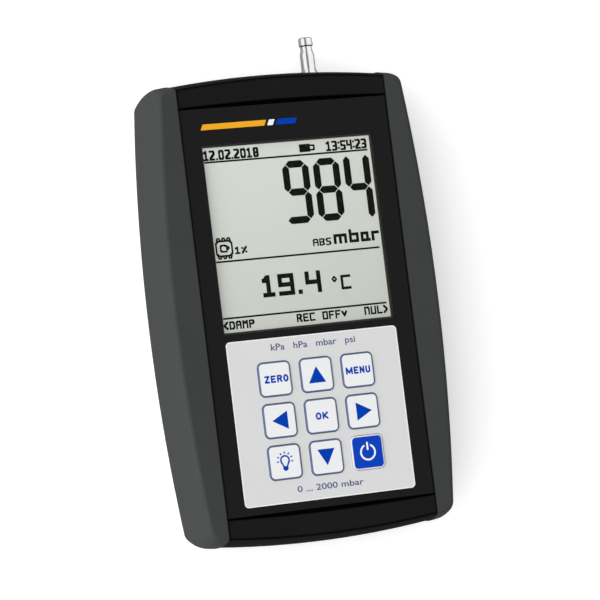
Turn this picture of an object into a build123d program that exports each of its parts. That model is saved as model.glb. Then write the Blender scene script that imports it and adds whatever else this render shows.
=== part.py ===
from build123d import *
import os
from math import asin, degrees, radians, sqrt, tan

# Hand-held digital pressure gauge, in millimetres. It lies on its back: +X is its right side,
# +Y points to the hose port and +Z out of the display. The origin is the centre of the back face.

# Housing outline
body_length = 158.3
body_width = 95.4
body_height = 31.0
parting_height = 18.0
end_arc_radius = 324.0
side_arc_radius = 672.0
end_bulge_front = 35.0
end_bulge_back = 60.0
side_bulge = 180.0
corner_radius_port_end = 3.4
corner_radius_key_end = 4.0
smallest_corner_radius = 0.5
front_edge_radius = 1.5
back_edge_radius = 3.0
wall = 2.2

# Side grips, which wrap the long sides and all four corners
grip_strip_width = 10.8
grip_line_lean = 2.1
grip_thickness = 2.4
grip_edge_radius = 0.5
centre_drop = 0.35
grip_rib_height = 1.6
grip_rib_depth = 1.2
grip_rib_end_margin = 20.15
grip_rib_clearance = 0.1

# Tongue that lines up the two shells along each side
lip_end_margin = 27.15
lip_thickness = 1.2
lip_reach = 2.0
lip_clearance = 0.1

# Front panel and its recess
panel_end_margin = 11.65
panel_thickness = 1.0
panel_drop = 0.15
panel_side_gap = 0.1
panel_corner_radius = 0.4
recess_end_gap = 0.5
recess_bow = 0.9
groove_drop = 1.0

# Display
view_side_margin = 7.05
view_end_margin = 12.9
view_depth = 1.85
window_margin = 0.75
window_gap = 0.05
pane_flange_width = 1.0
pane_flange_thickness = 0.3
bezel_border = 2.4
bezel_sheet = 0.4
bezel_opening_gap = 0.3
display_gap = 0.05
glass_thickness = 2.2
backlight_thickness = 1.75
strip_width = 1.8
strip_gap = 0.3

# Keypad sheet and keys
sheet_side_margin = 6.45
sheet_end_margin = 2.65
sheet_view_gap = 3.15
sheet_length = 54.7
sheet_thickness = 0.3
sheet_corner_radius = 1.4
sheet_gap = 0.05
key_names = [["zero", "up", "menu"], ["left", "ok", "right"], ["light", "down", "power"]]
key_pitch_x = 14.74
key_pitch_y = 13.78
key_size = 11.4
key_corner_radius = 1.8
key_edge_radius = 0.25
key_rise = 0.35
key_travel = 0.35
key_side_gap = 0.15
key_flange_margin = 0.75
key_flange_thickness = 1.0
key_flange_gap = 0.2
key_wall = 1.2
key_crown = 1.2
key_stem_diameter = 3.0
dome_diameter = 8.4
dome_top_diameter = 4.6
dome_height = 0.5
dome_sheet = 0.15
dome_gap = 0.05

# Main board and what is soldered to it
board_side_margin = 5.8
board_port_margin = 3.5
board_key_margin = 5.5
board_thickness = 1.6
board_corner_radius = 2.0
standoff_height = 2.7
board_screw_side_inset = 3.0
board_screw_port_inset = 3.0
board_screw_key_inset = 2.5
board_screw_bezel_gap = 4.1
standoff_diameter = 5.6
board_screw_diameter = 2.2
board_screw_bite = 3.4
board_screw_hole_gap = 0.2
processor_size = 14.0
processor_thickness = 1.4
processor_x = -8.0
chip_row_y = 8.0
memory_size = (6.0, 9.0)
memory_thickness = 1.2
clock_chip_x = 8.0
memory_side_inset = 7.0
buzzer_diameter = 12.0
buzzer_height = 5.5
buzzer_hole_diameter = 2.0
buzzer_x = -18.0
buzzer_end_inset = 16.0

# Hose nipple in the end wall
port_x = 17.9
port_depth = 6.5
nipple_diameter = 4.9
nipple_neck_diameter = 3.95
nipple_head_length = 2.85
nipple_neck_length = 1.35
nipple_cone_length = 1.6
nipple_body_length = 5.35
nipple_flare_length = 1.6
nipple_flare_diameter = 6.4
nipple_tip_chamfer = 0.45
nipple_bore = 2.4
nipple_hex = 7.0
nipple_hex_height = 1.4
thread_diameter = 5.0
thread_length = 6.8
tail_diameter = 3.2
tail_length = 5.2
seal_thickness = 0.6
seal_diameter = 8.4
port_hole_gap = 0.1
spotface_diameter = 9.6
spotface_depth = 0.9
port_pad_diameter = 12.0
port_pad_thickness = 3.0
nut_width = 8.0
nut_height = 2.7

# Pressure sensor and the hose inside the housing
sensor_size = 12.7
sensor_height = 7.0
sensor_end_distance = 41.65
sensor_port_drop = 4.2
sensor_port_length = 5.2
hose_wall = 1.15
hose_push_gap = 0.02
hose_bend_share = 0.45
hose_bend_run = 4.5
hose_end_gap = 0.5

# Batteries and their compartment
cell_count = 4
cell_diameter = 14.3
cell_length = 50.3
cell_nub_diameter = 5.3
cell_nub_length = 1.1
cell_edge_radius = 0.6
cell_gap = 0.6
cell_drop = 0.4
contact_thickness = 0.4
contact_height = 11.0
contact_gap = 0.1
spring_reach = 4.0
spring_strip = 0.4
spring_width = 6.0
compartment_wall = 1.8
lead_diameter = 1.2
contact_tab_width = 2.6
contact_tab_gap = 0.3
compartment_end_distance = 18.85

# Battery cover
cover_thickness = 2.0
cover_sink = 0.1
cover_ledge = 2.4
cover_tongue_width = 16.0
cover_tongue_length = 4.8
cover_gap = 0.15
cover_corner_radius = 2.5
ledge_height = 2.0
cover_tab_width = 9.0
cover_tab_reach = 1.6
cover_tab_thickness = 1.0
cover_tab_spread = 19.0
cover_groove_count = 5
cover_groove_pitch = 2.2
cover_groove_width = 1.0
cover_groove_depth = 0.5
cover_groove_length = 24.0
cover_groove_start = 8.0
cover_screw_diameter = 2.0
cover_screw_length = 4.4
cover_column_height = 5.0

# Housing screws
housing_screw_side_inset = 1.9
housing_screw_end_distance = 12.65
housing_screw_diameter = 3.0
housing_screw_seat = 4.0
housing_screw_bite = 6.5
screw_hole_gap = 0.2
pilot_gap = 0.02
head_factor = 1.8
head_height_factor = 0.6
head_gap = 0.25
cross_width_factor = 0.28
cross_length_factor = 1.1
cross_depth_share = 0.5
column_wall = 1.0
boss_wall = 2.0

# Levels and places that follow from the sizes above
half_length = body_length / 2
half_width = body_width / 2
centre_width = body_width - 2 * grip_strip_width
centre_width_back = centre_width + 2 * grip_line_lean
grip_rib_length = body_length - 2 * grip_rib_end_margin
lip_length = body_length - 2 * lip_end_margin
panel_width = centre_width - 2 * panel_side_gap
panel_length = body_length - 2 * panel_end_margin
sheet_width = panel_width - 2 * sheet_side_margin
view_width = panel_width - 2 * view_side_margin
view_length = panel_length - view_end_margin - sheet_view_gap - sheet_length - sheet_end_margin
view_centre_y = panel_length / 2 - view_end_margin - view_length / 2
keypad_centre_y = sheet_end_margin + sheet_length / 2 - panel_length / 2
centre_top = body_height - centre_drop
panel_top = centre_top - panel_drop
recess_floor = panel_top - panel_thickness
ceiling = recess_floor - wall
board_top = ceiling - standoff_height
board_bottom = board_top - board_thickness
board_width = panel_width - 2 * board_side_margin
board_start_y = board_key_margin - panel_length / 2
board_end_y = panel_length / 2 - board_port_margin
glass_top = panel_top - view_depth
bezel_top = glass_top + display_gap + bezel_sheet
window_width = view_width + 2 * window_margin
window_length = view_length + 2 * window_margin
bezel_width = view_width + 2 * bezel_border
bezel_length = view_length + 2 * bezel_border
port_z = parting_height - port_depth
cavity_inset = grip_thickness + wall
centre_cavity_inset = centre_drop + wall
overshoot = 5.0


def box_between(x_low, x_high, y_low, y_high, z_low, z_high):
    """A block between two corners."""
    size = (x_high - x_low, y_high - y_low, z_high - z_low)
    centre = ((x_low + x_high) / 2, (y_low + y_high) / 2, (z_low + z_high) / 2)
    return Pos(*centre) * Box(*size)


def block(width, length, x, y, z_low, z_high):
    """A block of a given width and length, centred on x and y."""
    return Pos(x, y, (z_low + z_high) / 2) * Box(width, length, z_high - z_low)


def pad(width, length, radius, x, y, z_low, z_high):
    """A plate with rounded corners, centred on x and y."""
    outline = RectangleRounded(width, length, radius)
    return Pos(x, y, z_low) * extrude(outline, amount=z_high - z_low)


def rod(diameter, x, y, z_low, z_high):
    """An upright round bar."""
    return Pos(x, y, (z_low + z_high) / 2) * Cylinder(diameter / 2, z_high - z_low)


def wall_sector(reach, side_reach, arc_radius, front_bulge, back_bulge, inset, z_low, z_high):
    """All the space behind one outer wall, which is bowed in plan and bulges at the parting line."""
    def rim(z):
        bulge = front_bulge if z > parting_height else back_bulge
        return arc_radius - bulge + sqrt((bulge - inset) ** 2 - (z - parting_height) ** 2)

    inner = arc_radius - 2 * reach - overshoot
    half_angle = degrees(asin((side_reach + overshoot) / inner))
    peak = (arc_radius - inset, parting_height)
    low_middle = (z_low + parting_height) / 2
    high_middle = (z_high + parting_height) / 2
    with BuildSketch(Plane.XZ) as profile:
        with BuildLine():
            Polyline((rim(z_high), z_high), (inner, z_high), (inner, z_low), (rim(z_low), z_low))
            ThreePointArc((rim(z_low), z_low), (rim(low_middle), low_middle), peak)
            ThreePointArc(peak, (rim(high_middle), high_middle), (rim(z_high), z_high))
        make_face()
    sector = revolve(profile.sketch, axis=Axis.Z, revolution_arc=2 * half_angle)
    return Pos(reach - arc_radius, 0, 0) * Rot(0, 0, -half_angle) * sector


def sharp_form(inset, z_low, z_high):
    """The space between the four outer walls, drawn in by the inset and cut off at two levels."""
    end = wall_sector(
        half_length, half_width, end_arc_radius, end_bulge_front, end_bulge_back, inset, z_low, z_high
    )
    side = wall_sector(
        half_width, half_length, side_arc_radius, side_bulge, side_bulge, inset, z_low, z_high
    )
    return Rot(0, 0, 90) * end & Rot(0, 0, -90) * end & side & Rot(0, 0, 180) * side


def body_form(inset, z_low, z_high, front_round=0.0, back_round=0.0):
    """The housing's outer form, with its corners and, where a radius is given, its edges rounded."""
    form = sharp_form(inset, z_low, z_high)
    for direction, radius in ((1, corner_radius_port_end), (-1, corner_radius_key_end)):
        corners = [
            edge for edge in form.edges()
            if edge.bounding_box().size.Z > 1 and edge.center().Y * direction > 0
        ]
        form = fillet(corners, max(radius - inset, smallest_corner_radius))
    if front_round > 0:
        form = fillet(form.edges().group_by(Axis.Z)[-1], front_round)
    if back_round > 0:
        form = fillet(form.edges().group_by(Axis.Z)[0], back_round)
    return form


def side_zone():
    """The space outside both grip lines, which lean outwards towards the back."""
    zone = []
    for side in (-1, 1):
        lean = (centre_width_back - centre_width) / 2 / body_height
        with BuildSketch(Plane.XZ) as profile:
            with BuildLine():
                Polyline(
                    (side * (centre_width / 2 - lean * overshoot), body_height + overshoot),
                    (side * (centre_width_back / 2 + lean * overshoot), -overshoot),
                    (side * (half_width + overshoot), -overshoot),
                    (side * (half_width + overshoot), body_height + overshoot),
                    close=True,
                )
            make_face()
        zone.append(extrude(profile.sketch, amount=half_length + overshoot, both=True))
    return zone


def end_wall_y(x, z, inset):
    """How far the bulged end wall reaches along Y at one place."""
    bulge = end_bulge_front if z > parting_height else end_bulge_back
    rim = end_arc_radius - bulge + sqrt((bulge - inset) ** 2 - (z - parting_height) ** 2)
    return half_length - end_arc_radius + sqrt(rim ** 2 - x ** 2)


# Main forms that the shells and grips share
outer_form = body_form(0, 0, body_height, front_edge_radius, back_edge_radius)
grip_seat = body_form(
    grip_thickness, grip_thickness, body_height - grip_thickness, 0, back_edge_radius - grip_thickness
)
centre_form = body_form(
    centre_drop, 0, centre_top, front_edge_radius - centre_drop, back_edge_radius - centre_drop
)
left_zone, right_zone = side_zone()
housing_form = centre_form - left_zone - right_zone + grip_seat
side_cavity = body_form(cavity_inset, cavity_inset, body_height - cavity_inset)
centre_cavity = body_form(centre_cavity_inset, wall, ceiling)
centre_cavity &= block(
    centre_width - 2 * wall, 2 * body_length, 0, 0, -overshoot, body_height + overshoot
)
cavity = side_cavity + centre_cavity
above_parting = block(2 * body_width, 2 * body_length, 0, 0, parting_height, 2 * body_height)
below_parting = block(2 * body_width, 2 * body_length, 0, 0, -body_height, parting_height)


def side_band(outer_inset, inner_inset, length, z_low, z_high):
    """Two strips that follow the long sides between two insets."""
    reach = (z_high - z_low) + overshoot
    outside = sharp_form(outer_inset, parting_height - reach, parting_height + reach)
    inside = sharp_form(inner_inset, parting_height - reach, parting_height + reach)
    return (outside - inside) & block(2 * body_width, length, 0, 0, z_low, z_high)


# Side grips: soft skins with an inner rib that the two shells clamp at the parting line
grip_rib = side_band(
    grip_thickness,
    grip_thickness + grip_rib_depth,
    grip_rib_length,
    parting_height - grip_rib_height / 2,
    parting_height + grip_rib_height / 2,
)
grip_rib_slot = side_band(
    grip_thickness,
    grip_thickness + grip_rib_depth + grip_rib_clearance,
    grip_rib_length + 2 * grip_rib_clearance,
    parting_height - grip_rib_height / 2 - grip_rib_clearance,
    parting_height + grip_rib_height / 2 + grip_rib_clearance,
)


def grip(zone):
    """One side grip, rounded along the line where it meets the middle of the housing."""
    skin = (outer_form & zone) - grip_seat
    seam = skin.faces().filter_by(GeomType.PLANE).sort_by(lambda face: abs(face.center().X))[0]
    skin = fillet(seam.outer_wire().edges(), grip_edge_radius)
    return skin + (grip_rib & zone)


# Places of the keys, in rows from the port end
key_places = {
    name: ((column - 1) * key_pitch_x, keypad_centre_y + (1 - row) * key_pitch_y)
    for row, names in enumerate(key_names)
    for column, name in enumerate(names)
}
key_opening = key_size + 2 * key_side_gap
key_opening_radius = key_corner_radius + key_side_gap


def key_openings(z_low, z_high):
    """The nine square holes that the keys slide in."""
    return [
        pad(key_opening, key_opening, key_opening_radius, x, y, z_low, z_high)
        for x, y in key_places.values()
    ]


# Front panel with its display window and keypad sheet
def front_panel():
    """Printed plate in the recess, with the window opening and a pocket for the keypad sheet."""
    plate = pad(panel_width, panel_length, panel_corner_radius, 0, 0, recess_floor, panel_top)
    plate -= block(window_width, window_length, 0, view_centre_y, recess_floor, panel_top)
    plate -= pad(
        sheet_width + 2 * sheet_gap,
        sheet_length + 2 * sheet_gap,
        sheet_corner_radius + sheet_gap,
        0,
        keypad_centre_y,
        panel_top - sheet_thickness,
        panel_top,
    )
    return plate - key_openings(recess_floor, panel_top)


def keypad_sheet():
    """Thin printed sheet round the keys."""
    z_low = panel_top - sheet_thickness
    sheet = pad(
        sheet_width, sheet_length, sheet_corner_radius, 0, keypad_centre_y, z_low, panel_top
    )
    return sheet - key_openings(z_low, panel_top)


def display_window():
    """Clear pane, flush with the panel, with a thin flange bonded under it."""
    width = window_width - 2 * window_gap
    length = window_length - 2 * window_gap
    pane = block(width, length, 0, view_centre_y, recess_floor, panel_top)
    return pane + block(
        window_width + 2 * pane_flange_width,
        window_length + 2 * pane_flange_width,
        0,
        view_centre_y,
        recess_floor - pane_flange_thickness,
        recess_floor,
    )


# Keys: hollow square caps with a flange under the housing wall and a stem over a snap dome
key_top = panel_top + key_rise
flange_top = ceiling - key_flange_gap
flange_bottom = flange_top - key_flange_thickness
stem_bottom = board_top + dome_height + dome_gap + key_travel


def key(x, y):
    """One key at rest."""
    cap = pad(key_size, key_size, key_corner_radius, x, y, flange_top, key_top)
    cap = fillet(cap.edges().group_by(Axis.Z)[-1], key_edge_radius)
    flange_size = key_size + 2 * key_flange_margin
    cap += pad(
        flange_size, flange_size, key_corner_radius, x, y, flange_bottom, flange_top
    )
    hollow = key_size - 2 * key_wall
    hollow_radius = max(key_corner_radius - key_wall, smallest_corner_radius)
    roof = key_top - key_crown
    cap -= pad(hollow, hollow, hollow_radius, x, y, flange_bottom, roof)
    return cap + rod(key_stem_diameter, x, y, stem_bottom, roof)


def snap_domes():
    """Nine thin metal domes on the board, one under each key."""
    outline = Polyline(
        (0, dome_height),
        (dome_top_diameter / 2, dome_height),
        (dome_diameter / 2, 0),
        (dome_diameter / 2 - dome_sheet, 0),
        (dome_top_diameter / 2 - dome_sheet, dome_height - dome_sheet),
        (0, dome_height - dome_sheet),
        close=True,
    )
    dome = revolve(Plane.XZ * make_face(outline), axis=Axis.Z)
    return [Pos(x, y, board_top) * dome for x, y in key_places.values()]


# Display module: metal bezel, glass, backlight and the two rubber contact strips
inner_width = bezel_width - 2 * bezel_sheet
inner_length = bezel_length - 2 * bezel_sheet
glass_width = inner_width - 2 * display_gap
glass_length = inner_length - 2 * display_gap
glass_bottom = glass_top - glass_thickness
strip_offset = glass_length / 2 - strip_gap - strip_width / 2


def display_bezel():
    """Folded metal frame that holds the display down on the board."""
    frame = block(bezel_width, bezel_length, 0, view_centre_y, board_top, bezel_top)
    frame -= block(
        inner_width, inner_length, 0, view_centre_y, board_top, bezel_top - bezel_sheet
    )
    return frame - block(view_width, view_length, 0, view_centre_y, board_top, bezel_top)


def display_glass():
    """Liquid crystal cell."""
    return block(glass_width, glass_length, 0, view_centre_y, glass_bottom, glass_top)


def display_backlight():
    """Light guide between the two contact strips."""
    length = 2 * (strip_offset - strip_width / 2 - strip_gap)
    z_high = glass_bottom - display_gap
    return block(glass_width, length, 0, view_centre_y, z_high - backlight_thickness, z_high)


def contact_strips():
    """Rubber strips that join the glass to the board."""
    return [
        block(
            view_width, strip_width, 0, view_centre_y + side * strip_offset, board_top, glass_bottom
        )
        for side in (-1, 1)
    ]


# Screws and the holes for them
def screw(diameter, length):
    """A cross-head screw whose shank points up from its seat at the origin."""
    radius = diameter / 2
    head_radius = radius * head_factor
    head_height = diameter * head_height_factor
    outline = Polyline(
        (0, -head_height),
        (head_radius, -head_height),
        (head_radius, 0),
        (radius, 0),
        (radius, length),
        (0, length),
        close=True,
    )
    body = revolve(Plane.XZ * make_face(outline), axis=Axis.Z)
    cross_width = diameter * cross_width_factor
    cross_length = diameter * cross_length_factor
    cross_top = -head_height * (1 - cross_depth_share)
    for width, depth in ((cross_width, cross_length), (cross_length, cross_width)):
        body -= block(width, depth, 0, 0, -head_height, cross_top)
    return body


def corners_of(x, rows):
    """Mirror-image places on both sides of each row."""
    return [(side * x, y) for side in (-1, 1) for y in rows]


board_screw_rows = [
    board_start_y + board_screw_key_inset,
    view_centre_y - bezel_length / 2 - board_screw_bezel_gap,
    board_end_y - board_screw_port_inset,
]
board_screw_places = corners_of(board_width / 2 - board_screw_side_inset, board_screw_rows)
housing_screw_y = half_length - housing_screw_end_distance
housing_screw_places = corners_of(
    centre_width / 2 - housing_screw_side_inset, (-housing_screw_y, housing_screw_y)
)
housing_head_hole = housing_screw_diameter * head_factor + 2 * head_gap
housing_screw_top = parting_height + housing_screw_bite

# Battery compartment
cell_pitch = cell_diameter + cell_gap
compartment_width = cell_count * cell_pitch + cell_gap
compartment_length = cell_length + 2 * contact_thickness + 2 * contact_gap + spring_reach
compartment_start_y = compartment_end_distance - half_length
compartment_end_y = compartment_start_y + compartment_length
compartment_centre_y = (compartment_start_y + compartment_end_y) / 2
cover_top = cover_sink + cover_thickness
cell_bottom = cover_top + cell_drop
cell_z = cell_bottom + cell_diameter / 2
compartment_roof = cell_bottom + cell_diameter + cell_drop
cell_places = [(index - (cell_count - 1) / 2) * cell_pitch for index in range(cell_count)]
cover_opening_width = compartment_width + 2 * cover_ledge
cover_opening_length = compartment_length + 2 * cover_ledge
tongue_end_y = compartment_start_y - cover_ledge - cover_tongue_length
cover_screw_y = tongue_end_y + cover_tongue_length / 2
cover_screw_seat = cover_sink + cover_screw_diameter * head_height_factor
tab_places = (-cover_tab_spread, cover_tab_spread)


def cover_outline(gap, z_low, z_high):
    """The battery cover's outline, drawn in by a gap: a rectangle with a tongue for the screw."""
    main = pad(
        cover_opening_width - 2 * gap,
        cover_opening_length - 2 * gap,
        cover_corner_radius,
        0,
        compartment_centre_y,
        z_low,
        z_high,
    )
    tongue_length = cover_tongue_length + 2 * cover_corner_radius
    tongue = pad(
        cover_tongue_width - 2 * gap,
        tongue_length,
        cover_corner_radius,
        0,
        tongue_end_y + gap + tongue_length / 2,
        z_low,
        z_high,
    )
    return main + tongue


def cover_tabs(gap, y_low, y_high, z_low, z_high):
    """Two hooks that catch inside the back wall at the cover's port end."""
    width = cover_tab_width + 2 * gap
    return [
        box_between(x - width / 2, x + width / 2, y_low, y_high, z_low, z_high)
        for x in tab_places
    ]


def battery_cover():
    """Lid over the cells, hooked in at one end and held by one screw at the other."""
    cover = cover_outline(cover_gap, cover_sink, cover_top)
    edge_y = compartment_end_y + cover_ledge - cover_gap
    root_y = compartment_end_y - cover_gap
    hook_z = wall + cover_gap
    cover += cover_tabs(0, root_y, edge_y, cover_top, hook_z + cover_tab_thickness)
    cover += cover_tabs(0, root_y, edge_y + cover_tab_reach, hook_z, hook_z + cover_tab_thickness)
    for index in range(cover_groove_count):
        y = edge_y - cover_groove_start - index * cover_groove_pitch
        cover -= block(
            cover_groove_length, cover_groove_width, 0, y, cover_sink, cover_sink + cover_groove_depth
        )
    return cover - cover_screw_hole()


def cover_screw_hole():
    """Stepped hole through the cover's tongue, with room for the screw's head."""
    head_hole = cover_screw_diameter * head_factor + 2 * head_gap
    hole = rod(cover_screw_diameter + 2 * screw_hole_gap, 0, cover_screw_y, cover_sink, cover_top)
    return hole + rod(head_hole, 0, cover_screw_y, cover_sink, cover_screw_seat)


def compartment():
    """Walls, roof and cover ledge of the battery compartment, ready to join the back shell."""
    z_high = compartment_roof + compartment_wall
    walls = block(
        compartment_width + 2 * compartment_wall,
        compartment_length + 2 * compartment_wall,
        0,
        compartment_centre_y,
        wall,
        z_high,
    )
    walls += block(
        cover_opening_width + 2 * compartment_wall,
        cover_opening_length + 2 * compartment_wall,
        0,
        compartment_centre_y,
        wall,
        wall + ledge_height,
    )
    tongue_width = cover_tongue_width + 2 * compartment_wall
    walls += box_between(
        -tongue_width / 2,
        tongue_width / 2,
        tongue_end_y - compartment_wall,
        compartment_start_y,
        wall,
        wall + cover_column_height,
    )
    walls -= block(
        compartment_width, compartment_length, 0, compartment_centre_y, wall, compartment_roof
    )
    tab_space_end = compartment_end_y + cover_ledge + cover_tab_reach + cover_gap
    tab_space_top = wall + cover_tab_thickness + 2 * cover_gap
    walls -= cover_tabs(
        cover_gap, compartment_end_y - cover_gap, tab_space_end, wall, tab_space_top
    )
    pilot = cover_screw_diameter + 2 * pilot_gap
    walls -= rod(pilot, 0, cover_screw_y, wall, cover_screw_seat + cover_screw_length + screw_hole_gap)
    for x in (cell_places[0], cell_places[-1]):
        walls -= contact_tab_block(x, contact_tab_gap, compartment_roof, z_high)
    return walls


def contact_tab_block(x, gap, z_low, z_high):
    """The narrow tab of an end contact, or the slot for it."""
    width = contact_tab_width + 2 * gap
    y_low = compartment_start_y + contact_gap - gap
    return box_between(
        x - width / 2, x + width / 2, max(y_low, compartment_start_y),
        compartment_start_y + contact_gap + contact_thickness + gap, z_low, z_high
    )


def battery_cell(index):
    """One cell; neighbours point opposite ways, and the even ones point to the port end."""
    radius = cell_diameter / 2
    nub_radius = cell_nub_diameter / 2
    shoulder = cell_length - cell_nub_length
    outline = Polyline(
        (0, 0),
        (radius - cell_edge_radius, 0),
        (radius, cell_edge_radius),
        (radius, shoulder - cell_edge_radius),
        (radius - cell_edge_radius, shoulder),
        (nub_radius, shoulder),
        (nub_radius, cell_length),
        (0, cell_length),
        close=True,
    )
    cell = revolve(make_face(outline), axis=Axis.Y)
    if index % 2 == 0:
        y = compartment_end_y - contact_gap - contact_thickness - cell_length
        return Pos(cell_places[index], y, cell_z) * cell
    y = compartment_start_y + contact_gap + contact_thickness + cell_length
    return Pos(cell_places[index], y, cell_z) * Rot(180, 0, 0) * cell


def contact_plate(first, last, at_port_end):
    """A flat contact behind one cell or a pair."""
    y = compartment_start_y + contact_gap
    if at_port_end:
        y = compartment_end_y - contact_gap - contact_thickness
    return box_between(
        cell_places[first] - contact_height / 2,
        cell_places[last] + contact_height / 2,
        y,
        y + contact_thickness,
        cell_z - contact_height / 2,
        cell_z + contact_height / 2,
    )


def battery_contacts():
    """Plates that put the cells in series, with tabs on the two ends of the chain."""
    last = cell_count - 1
    plates = [contact_plate(index, index + 1, True) for index in range(0, last, 2)]
    plates += [contact_plate(index, index + 1, False) for index in range(1, last - 1, 2)]
    tab_top = compartment_roof + compartment_wall + contact_thickness
    for index in (0, last):
        tab = contact_tab_block(cell_places[index], 0, cell_z, tab_top)
        plates.append(contact_plate(index, index, False) + tab)
    return plates


def battery_springs():
    """Bowed strips that press on the flat end of each cell."""
    half_height = contact_height / 2
    reach = spring_reach - contact_gap
    with BuildSketch(Plane.YZ) as profile:
        with BuildLine():
            ThreePointArc((0, -half_height), (reach, 0), (0, half_height))
            inner_height = half_height - spring_strip
            Line((0, half_height), (0, inner_height))
            ThreePointArc((0, inner_height), (reach - spring_strip, 0), (0, -inner_height))
            Line((0, -inner_height), (0, -half_height))
        make_face()
    bow = extrude(profile.sketch, amount=spring_width / 2, both=True)
    springs = []
    for index, x in enumerate(cell_places):
        if index % 2 == 0:
            springs.append(Pos(x, compartment_start_y + contact_gap + contact_thickness, cell_z) * bow)
        else:
            y = compartment_end_y - contact_gap - contact_thickness
            springs.append(Pos(x, y, cell_z) * Rot(0, 0, 180) * bow)
    return springs


def battery_leads():
    """Two stiff wires from the end contacts up to the board."""
    tab_top = compartment_roof + compartment_wall + contact_thickness
    y = compartment_start_y + contact_gap + contact_thickness / 2
    return [rod(lead_diameter, x, y, tab_top, board_bottom) for x in (cell_places[0], cell_places[-1])]


# Hose nipple: a turned part screwed through the end wall, with its seal and nut
spotface_y = end_wall_y(port_x, port_z, centre_drop) - spotface_depth
hex_start = spotface_y + seal_thickness
flare_start = hex_start + nipple_hex_height
body_start = flare_start + nipple_flare_length
cone_start = body_start + nipple_body_length
neck_start = cone_start + nipple_cone_length
head_start = neck_start + nipple_neck_length
nipple_tip = head_start + nipple_head_length
thread_end = hex_start - thread_length
tail_end = thread_end - tail_length
pad_face = spotface_y - port_pad_thickness


def turned(points):
    """A turned part on the port's axis, from (radius, y) points."""
    return Pos(port_x, 0, port_z) * revolve(make_face(Polyline(*points, close=True)), axis=Axis.Y)


def hex_bar(width, y_low, y_high):
    """A hexagon bar on the port's axis."""
    outline = Plane.XZ * RegularPolygon(width / 2, 6, major_radius=False)
    return Pos(port_x, y_high, port_z) * extrude(outline, amount=y_high - y_low)


def port_bar(diameter, y_low, y_high):
    """A round bar on the port's axis."""
    return turned([(0, y_low), (diameter / 2, y_low), (diameter / 2, y_high), (0, y_high)])


def hose_nipple():
    """Turned nipple: barbed head, neck, body, flare, hexagon, thread and inner tail, bored through."""
    bore = nipple_bore / 2
    tail = tail_diameter / 2
    thread = thread_diameter / 2
    body = nipple_diameter / 2
    neck = nipple_neck_diameter / 2
    nipple = turned([
        (bore, tail_end),
        (tail, tail_end),
        (tail, thread_end),
        (thread, thread_end),
        (thread, flare_start),
        (nipple_flare_diameter / 2, flare_start),
        (body, body_start),
        (body, cone_start),
        (neck, neck_start),
        (neck, head_start),
        (body, head_start),
        (body, nipple_tip - nipple_tip_chamfer),
        (body - nipple_tip_chamfer, nipple_tip),
        (bore, nipple_tip),
    ])
    collar = hex_bar(nipple_hex, hex_start, flare_start)
    return nipple + (collar - port_bar(thread_diameter, hex_start, flare_start))


def nipple_seal():
    """Flat sealing ring under the hexagon."""
    hole = thread_diameter + 2 * port_hole_gap
    return port_bar(seal_diameter, spotface_y, hex_start) - port_bar(hole, spotface_y, hex_start)


def nipple_nut():
    """Nut on the inner side of the end wall."""
    nut = hex_bar(nut_width, pad_face - nut_height, pad_face)
    return nut - port_bar(thread_diameter + 2 * pilot_gap, pad_face - nut_height, pad_face)


# Pressure sensor under the board, and the hose from it to the nipple
sensor_centre_y = half_length - sensor_end_distance
sensor_port_z = board_bottom - sensor_port_drop
sensor_face_y = sensor_centre_y + sensor_size / 2
sensor_port_end = sensor_face_y + sensor_port_length


def pressure_sensor():
    """Sensor housing with a side port, hollow like the nipple's tail."""
    body = block(
        sensor_size, sensor_size, port_x, sensor_centre_y, board_bottom - sensor_height, board_bottom
    )
    body = fillet(body.edges().filter_by(Axis.Z), smallest_corner_radius)
    lift = Pos(0, 0, sensor_port_z - port_z)
    body += lift * port_bar(tail_diameter, sensor_centre_y, sensor_port_end)
    return body - lift * port_bar(nipple_bore / 2, sensor_centre_y, sensor_port_end)


def sensor_hose():
    """Soft hose pushed over both tails, with two equal bends."""
    start = (tail_end + tail_length - hose_end_gap, port_z)
    first = (tail_end - hose_bend_run, port_z)
    second = (sensor_port_end + hose_bend_run, sensor_port_z)
    end = (sensor_face_y + hose_end_gap, sensor_port_z)
    slope = Vector(second[0] - first[0], second[1] - first[1])
    turn = Vector(-1, 0).get_angle(slope)
    shorter_run = min(slope.length, start[0] - first[0], second[0] - end[0])
    bend_radius = hose_bend_share * shorter_run / tan(radians(turn / 2))
    print("sensor hose bend radius", round(bend_radius, 2))
    route = Plane.YZ * FilletPolyline(start, first, second, end, radius=bend_radius)
    inner = tail_diameter / 2 + hose_push_gap
    section = Plane(origin=route @ 0, z_dir=route % 0) * (Circle(inner + hose_wall) - Circle(inner))
    return Pos(port_x, 0, 0) * sweep(section, path=route)


# Main board and the parts soldered under it
def main_board():
    """Circuit board with its fixing holes."""
    length = board_end_y - board_start_y
    centre_y = (board_start_y + board_end_y) / 2
    board = pad(board_width, length, board_corner_radius, 0, centre_y, board_bottom, board_top)
    hole = board_screw_diameter + 2 * board_screw_hole_gap
    return board - [rod(hole, x, y, board_bottom, board_top) for x, y in board_screw_places]


def processor():
    """Main chip under the board."""
    z_low = board_bottom - processor_thickness
    return block(processor_size, processor_size, processor_x, chip_row_y, z_low, board_bottom)


def memory_chips():
    """Memory and clock chips under the board."""
    width, length = memory_size
    z_low = board_bottom - memory_thickness
    places = (clock_chip_x, memory_side_inset - board_width / 2)
    return [block(width, length, x, chip_row_y, z_low, board_bottom) for x in places]


def buzzer():
    """Round sounder with its sound hole."""
    y = board_end_y - buzzer_end_inset
    z_low = board_bottom - buzzer_height
    body = rod(buzzer_diameter, buzzer_x, y, z_low, board_bottom)
    return body - rod(buzzer_hole_diameter, buzzer_x, y, z_low, z_low + buzzer_height / 2)


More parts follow.
